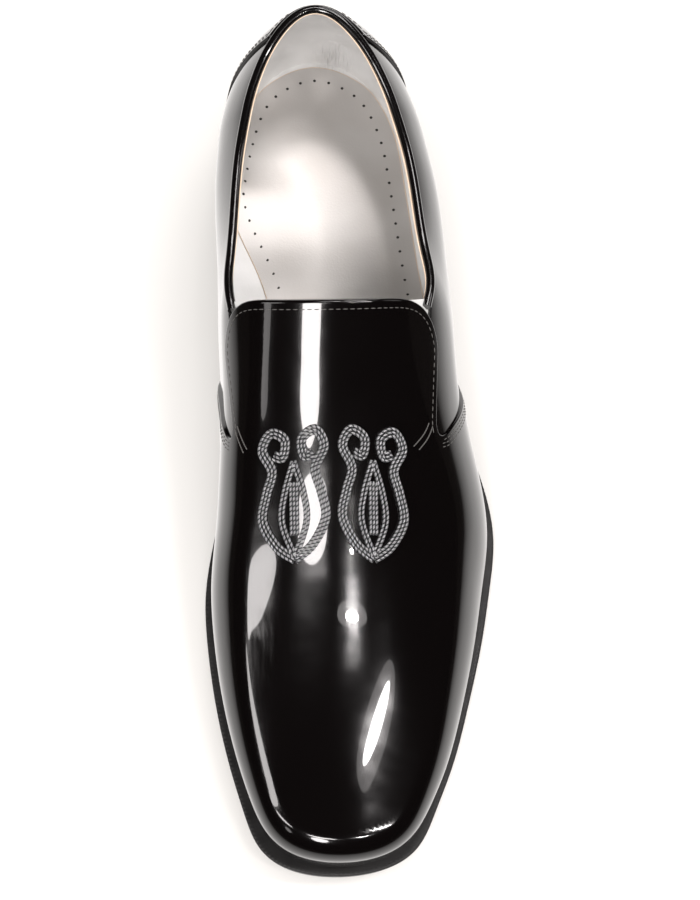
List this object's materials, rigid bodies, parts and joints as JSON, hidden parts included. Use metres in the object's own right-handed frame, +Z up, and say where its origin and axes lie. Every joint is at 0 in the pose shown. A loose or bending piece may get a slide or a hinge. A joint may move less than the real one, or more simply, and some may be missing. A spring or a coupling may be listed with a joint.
{
  "type": "patent slipper",
  "caption": "Men's black patent leather slip-on dress shoe with a plain vamp and tongue, raised cord scroll ornament, piped collar, silver lining, welted sole and stacked heel.",
  "frame": {"origin": "on the floor, at the middle of the heel's tread face", "axes": "+Z up, +Y towards the heel and -Y towards the toe, +X towards the outer (lateral) side of a left foot"},
  "size_m": [0.1069, 0.3141, 0.097],
  "materials": {
    "patent_leather": "mirror gloss patent",
    "piping": "mirror gloss patent",
    "lining_leather": "silver metallic, fine grain",
    "sock_leather": "silver metallic, fine grain",
    "raw_edge": "raw cut edge",
    "sole_leather": "waxed edge",
    "welt_leather": "matte, wheeled edge",
    "heel_stack": "waxed edge",
    "heel_rubber": "matte",
    "thread": "waxed thread",
    "silver_cord": "twisted silver and black cord"
  },
  "bodies": {
    "root": {"top_lift": "heel_rubber", "heel_block": "heel_stack", "outsole": "sole_leather", "welt": "welt_leather", "insole": "sock_leather", "upper": "patent_leather", "collar_binding": "piping", "ornament_medial": "silver_cord", "ornament_lateral": "silver_cord"}
  },
  "joints": []
}
